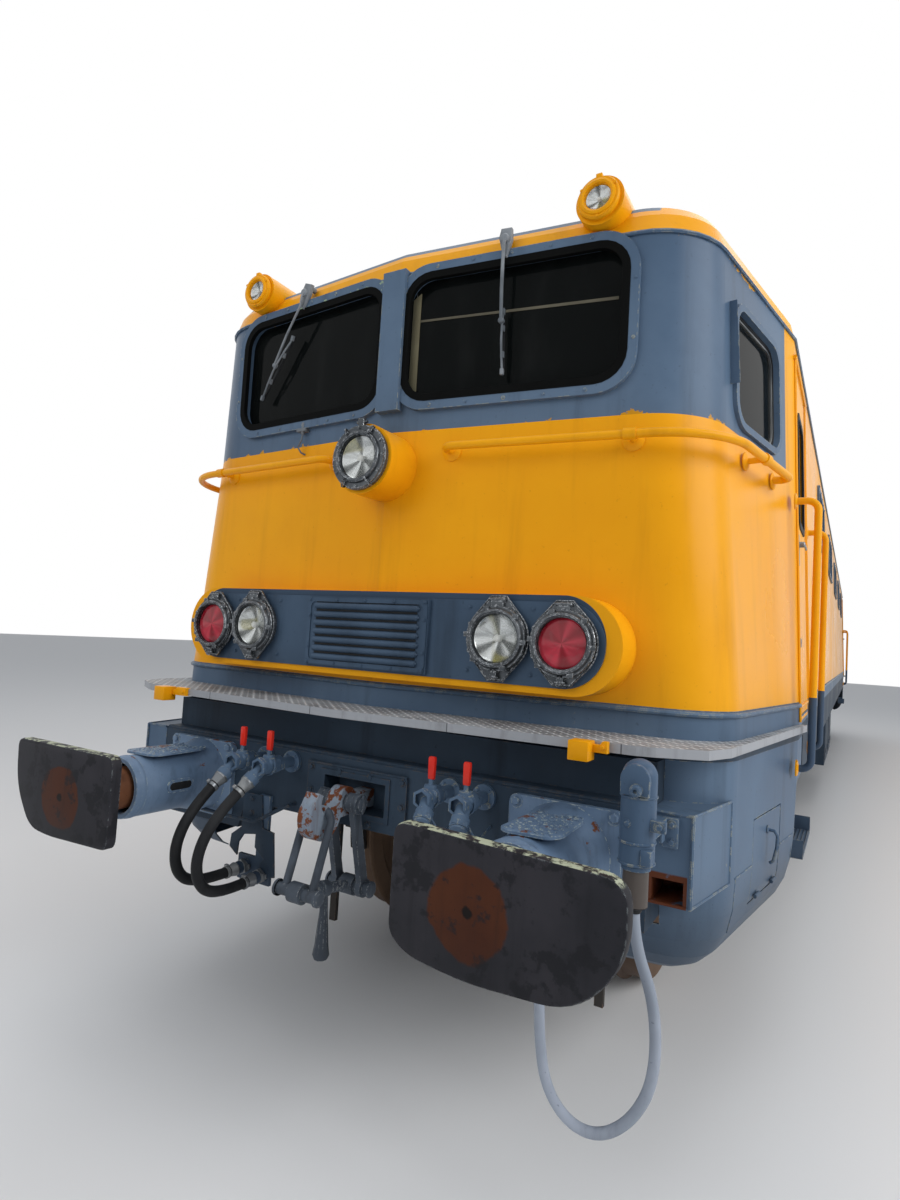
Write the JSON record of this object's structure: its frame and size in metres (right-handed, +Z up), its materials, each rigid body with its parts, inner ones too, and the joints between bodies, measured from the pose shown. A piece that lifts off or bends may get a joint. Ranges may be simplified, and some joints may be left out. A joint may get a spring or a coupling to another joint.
{
  "type": "electric locomotive",
  "caption": "Heavy electric locomotive with a rounded yellow and blue-grey body, a cab at each end, two swivelling bogies, step platforms, buffers and folding roof pantographs.",
  "frame": {"origin": "centre of the vehicle in plan, at the foot of the wheel flanges (28 mm below the rail head)", "axes": "+Y along the length, with the pictured end facing -Y; +X to the right as seen looking along +Y from that end; +Z up"},
  "size_m": [3.122, 18.952, 4.1915],
  "materials": {
    "yellow_paint": "satin",
    "blue_grey_paint": "satin",
    "roof_grey_paint": "matte",
    "dark_grey_paint": "matte",
    "tread_plate": "matte",
    "running_gear": "matte",
    "wheel_steel": "worn",
    "buffer_steel": "worn",
    "lamp_metal": "satin",
    "clear_lens": "gloss",
    "red_lens": "gloss",
    "window_glass": "gloss",
    "black_rubber": "matte",
    "red_handle": "gloss",
    "cable_sheath": "worn",
    "ceramic": "gloss",
    "panto_metal": "matte"
  },
  "bodies": {
    "body": {"underframe": "dark_grey_paint", "noses": "yellow_paint", "side_walls": "yellow_paint", "floor_plate": "dark_grey_paint", "plinths": "blue_grey_paint", "cabs": "blue_grey_paint", "cornice": "yellow_paint", "roof": "roof_grey_paint", "cab_fittings": "dark_grey_paint", "window_frames": "blue_grey_paint", "glass": "window_glass", "platforms": "tread_plate", "lamp_housings": "yellow_paint", "lamp_panels": "blue_grey_paint", "lamp_rings": "lamp_metal", "lenses_clear": "clear_lens", "lenses_red": "red_lens", "nose_rails": "yellow_paint", "upright_rails": "yellow_paint", "aprons": "blue_grey_paint", "buffer_casings": "blue_grey_paint", "buffer_heads": "buffer_steel", "draw_gear": "running_gear", "brake_cocks": "blue_grey_paint", "cock_handles": "red_handle", "brake_hose_a": "black_rubber", "brake_hose_b": "black_rubber", "jumper_cable": "cable_sheath", "equipment": "dark_grey_paint", "underfloor": "dark_grey_paint", "panto_bases": "panto_metal", "insulators": "ceramic"},
    "door_front_left": {"door_front_left": "yellow_paint"},
    "door_front_right": {"door_front_right": "yellow_paint"},
    "door_rear_left": {"door_rear_left": "yellow_paint"},
    "door_rear_right": {"door_rear_right": "yellow_paint"},
    "hatch_front_left": {"hatch_front_left": "blue_grey_paint"},
    "hatch_front_right": {"hatch_front_right": "blue_grey_paint"},
    "hatch_rear_left": {"hatch_rear_left": "blue_grey_paint"},
    "hatch_rear_right": {"hatch_rear_right": "blue_grey_paint"},
    "panto_front_lower_a": {"panto_front_lower_a": "panto_metal"},
    "panto_front_lower_b": {"panto_front_lower_b": "panto_metal"},
    "panto_front_upper_a": {"panto_front_upper_a": "panto_metal"},
    "panto_front_upper_b": {"panto_front_upper_b": "panto_metal"},
    "panto_front_head": {"panto_front_head": "panto_metal"},
    "panto_rear_lower_a": {"panto_rear_lower_a": "panto_metal"},
    "panto_rear_lower_b": {"panto_rear_lower_b": "panto_metal"},
    "panto_rear_upper_a": {"panto_rear_upper_a": "panto_metal"},
    "panto_rear_upper_b": {"panto_rear_upper_b": "panto_metal"},
    "panto_rear_head": {"panto_rear_head": "panto_metal"},
    "wheelset_1": {"wheelset_1": "wheel_steel"},
    "wheelset_2": {"wheelset_2": "wheel_steel"},
    "wheelset_3": {"wheelset_3": "wheel_steel"},
    "wheelset_4": {"wheelset_4": "wheel_steel"},
    "wheelset_5": {"wheelset_5": "wheel_steel"},
    "wheelset_6": {"wheelset_6": "wheel_steel"},
    "bogie_front": {"bogie_frame_front": "running_gear", "axle_boxes_front": "running_gear"},
    "bogie_rear": {"bogie_frame_rear": "running_gear", "axle_boxes_rear": "running_gear"}
  },
  "joints": [
    {"name": "door_front_right_hinge", "type": "hinge", "parent": "body", "child": "door_front_right", "pos_m": [1.375, -6.855, 2.3], "axis": [0, 0, -1], "range_deg": [0, 88]},
    {"name": "hatch_front_right_hinge", "type": "hinge", "parent": "body", "child": "hatch_front_right", "pos_m": [1.3995, -7.985, 0.845], "axis": [0.1388, 0.9903, 0], "range_deg": [0, 80]},
    {"name": "door_front_left_hinge", "type": "hinge", "parent": "body", "child": "door_front_left", "pos_m": [-1.375, -6.855, 2.3], "axis": [0, 0, 1], "range_deg": [0, 88]},
    {"name": "hatch_front_left_hinge", "type": "hinge", "parent": "body", "child": "hatch_front_left", "pos_m": [-1.3995, -7.985, 0.845], "axis": [0.1388, -0.9903, 0], "range_deg": [0, 80]},
    {"name": "bogie_front_swivel", "type": "hinge", "parent": "body", "child": "bogie_front", "pos_m": [0, -4.6475, 0.9], "axis": [0, 0, 1], "range_deg": [-3, 3]},
    {"name": "wheelset_1_axle", "type": "hinge", "parent": "bogie_front", "child": "wheelset_1", "pos_m": [0, -7.07, 0.653], "axis": [1, 0, 0], "continuous": true},
    {"name": "wheelset_2_axle", "type": "hinge", "parent": "bogie_front", "child": "wheelset_2", "pos_m": [0, -4.6475, 0.653], "axis": [1, 0, 0], "continuous": true},
    {"name": "wheelset_3_axle", "type": "hinge", "parent": "bogie_front", "child": "wheelset_3", "pos_m": [0, -2.225, 0.653], "axis": [1, 0, 0], "continuous": true},
    {"name": "panto_front_raise", "type": "hinge", "parent": "body", "child": "panto_front_lower_a", "pos_m": [0, -5.45, 3.9], "axis": [-1, 0, 0], "range_deg": [0, 45]},
    {"name": "panto_front_lower_b_pivot", "type": "hinge", "parent": "body", "child": "panto_front_lower_b", "pos_m": [0, -4.95, 3.9], "axis": [1, 0, 0], "range_deg": [0, 45]},
    {"name": "panto_front_knee_a", "type": "hinge", "parent": "panto_front_lower_a", "child": "panto_front_upper_a", "pos_m": [0, -6.54581, 3.99587], "axis": [1, 0, 0], "range_deg": [0, 90]},
    {"name": "panto_front_knee_b", "type": "hinge", "parent": "panto_front_lower_b", "child": "panto_front_upper_b", "pos_m": [0, -3.85419, 3.99587], "axis": [-1, 0, 0], "range_deg": [0, 90]},
    {"name": "panto_front_head_pivot", "type": "hinge", "parent": "panto_front_upper_a", "child": "panto_front_head", "pos_m": [0, -5.45, 4.09174], "axis": [-1, 0, 0], "range_deg": [0, 45]},
    {"name": "door_rear_left_hinge", "type": "hinge", "parent": "body", "child": "door_rear_left", "pos_m": [-1.375, 6.855, 2.3], "axis": [0, 0, -1], "range_deg": [0, 88]},
    {"name": "hatch_rear_left_hinge", "type": "hinge", "parent": "body", "child": "hatch_rear_left", "pos_m": [-1.3995, 7.985, 0.845], "axis": [-0.1388, -0.9903, 0], "range_deg": [0, 80]},
    {"name": "door_rear_right_hinge", "type": "hinge", "parent": "body", "child": "door_rear_right", "pos_m": [1.375, 6.855, 2.3], "axis": [0, 0, 1], "range_deg": [0, 88]},
    {"name": "hatch_rear_right_hinge", "type": "hinge", "parent": "body", "child": "hatch_rear_right", "pos_m": [1.3995, 7.985, 0.845], "axis": [-0.1388, 0.9903, 0], "range_deg": [0, 80]},
    {"name": "bogie_rear_swivel", "type": "hinge", "parent": "body", "child": "bogie_rear", "pos_m": [0, 4.6475, 0.9], "axis": [0, 0, 1], "range_deg": [-3, 3]},
    {"name": "wheelset_4_axle", "type": "hinge", "parent": "bogie_rear", "child": "wheelset_4", "pos_m": [0, 2.225, 0.653], "axis": [1, 0, 0], "continuous": true},
    {"name": "wheelset_5_axle", "type": "hinge", "parent": "bogie_rear", "child": "wheelset_5", "pos_m": [0, 4.6475, 0.653], "axis": [1, 0, 0], "continuous": true},
    {"name": "wheelset_6_axle", "type": "hinge", "parent": "bogie_rear", "child": "wheelset_6", "pos_m": [0, 7.07, 0.653], "axis": [1, 0, 0], "continuous": true},
    {"name": "panto_rear_raise", "type": "hinge", "parent": "body", "child": "panto_rear_lower_a", "pos_m": [0, 5.45, 3.9], "axis": [1, 0, 0], "range_deg": [0, 45]},
    {"name": "panto_rear_lower_b_pivot", "type": "hinge", "parent": "body", "child": "panto_rear_lower_b", "pos_m": [0, 4.95, 3.9], "axis": [-1, 0, 0], "range_deg": [0, 45]},
    {"name": "panto_rear_knee_a", "type": "hinge", "parent": "panto_rear_lower_a", "child": "panto_rear_upper_a", "pos_m": [0, 6.54581, 3.99587], "axis": [-1, 0, 0], "range_deg": [0, 90]},
    {"name": "panto_rear_knee_b", "type": "hinge", "parent": "panto_rear_lower_b", "child": "panto_rear_upper_b", "pos_m": [0, 3.85419, 3.99587], "axis": [1, 0, 0], "range_deg": [0, 90]},
    {"name": "panto_rear_head_pivot", "type": "hinge", "parent": "panto_rear_upper_a", "child": "panto_rear_head", "pos_m": [0, 5.45, 4.09174], "axis": [1, 0, 0], "range_deg": [0, 45]}
  ],
  "couplings": [
    {"joint": "panto_front_lower_b_pivot", "follows": "panto_front_raise", "ratio": 1},
    {"joint": "panto_front_knee_a", "follows": "panto_front_raise", "ratio": 2},
    {"joint": "panto_front_knee_b", "follows": "panto_front_raise", "ratio": 2},
    {"joint": "panto_front_head_pivot", "follows": "panto_front_raise", "ratio": 1},
    {"joint": "panto_rear_lower_b_pivot", "follows": "panto_rear_raise", "ratio": 1},
    {"joint": "panto_rear_knee_a", "follows": "panto_rear_raise", "ratio": 2},
    {"joint": "panto_rear_knee_b", "follows": "panto_rear_raise", "ratio": 2},
    {"joint": "panto_rear_head_pivot", "follows": "panto_rear_raise", "ratio": 1}
  ]
}
